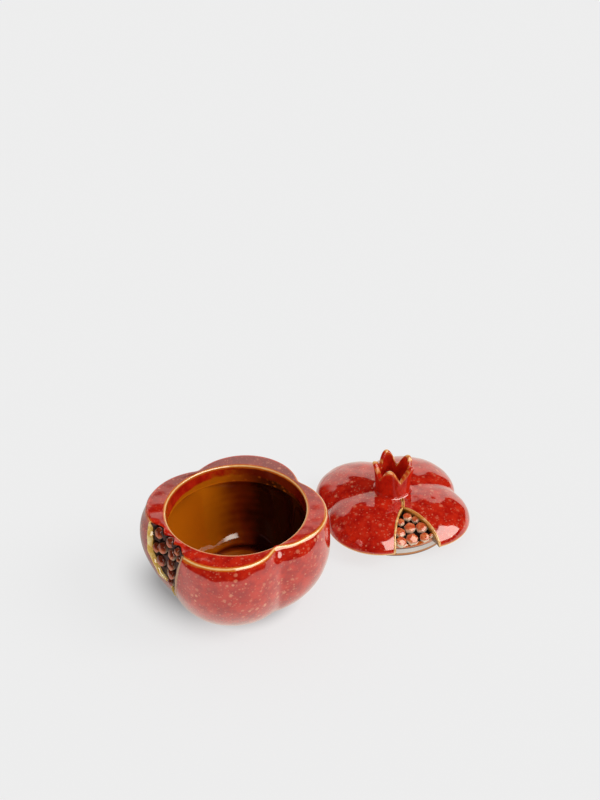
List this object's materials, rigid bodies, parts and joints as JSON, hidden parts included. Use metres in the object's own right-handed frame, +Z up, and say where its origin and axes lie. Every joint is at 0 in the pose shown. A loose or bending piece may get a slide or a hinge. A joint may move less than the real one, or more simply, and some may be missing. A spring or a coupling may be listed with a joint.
{
  "type": "lidded jam pot",
  "caption": "Lobed ceramic pot in the form of a split pomegranate, seeds showing in the split, with a loose domed lid that is lifted by its calyx crown; holds jam, honey or sugar.",
  "frame": {"origin": "middle of the pot's foot ring, on the table; the lid lies to the right and behind", "axes": "+Z up out of the mouth, +X to the right and +Y away from the viewer in the pictured view"},
  "size_m": [0.1908, 0.1608, 0.057],
  "materials": {
    "red_glaze": "glossy oxblood glaze with pale speckles, breaking cream along its edges",
    "amber_glaze": "glossy amber-brown glaze",
    "lip_glaze": "glossy yellow-ochre glaze",
    "bed_slip": "glossy dark slip",
    "seed_glaze": "glossy red-orange glaze over a cream body"
  },
  "bodies": {
    "pot": {"pot_shell": "red_glaze", "pot_split_bed": "bed_slip", "pot_lip_left": "lip_glaze", "pot_lip_right": "lip_glaze", "pot_seed_01": "seed_glaze", "pot_seed_02": "seed_glaze", "pot_seed_03": "seed_glaze", "pot_seed_04": "seed_glaze", "pot_seed_05": "seed_glaze", "pot_seed_06": "seed_glaze", "pot_seed_07": "seed_glaze", "pot_seed_08": "seed_glaze", "pot_seed_09": "seed_glaze", "pot_seed_10": "seed_glaze", "pot_seed_11": "seed_glaze"},
    "lid": {"lid_shell": "red_glaze", "lid_ring": "amber_glaze", "lid_split_bed": "bed_slip", "lid_lip_left": "lip_glaze", "lid_lip_right": "lip_glaze", "crown": "red_glaze", "lid_seed_01": "seed_glaze", "lid_seed_02": "seed_glaze", "lid_seed_03": "seed_glaze", "lid_seed_04": "seed_glaze", "lid_seed_05": "seed_glaze", "lid_seed_06": "seed_glaze", "lid_seed_07": "seed_glaze", "lid_seed_08": "seed_glaze", "lid_seed_09": "seed_glaze", "lid_seed_10": "seed_glaze"}
  },
  "joints": [
    {"name": "lid_lift", "type": "slide", "parent": "pot", "child": "lid", "axis": [0, 0, 1], "range_m": [0, 0.07]}
  ]
}
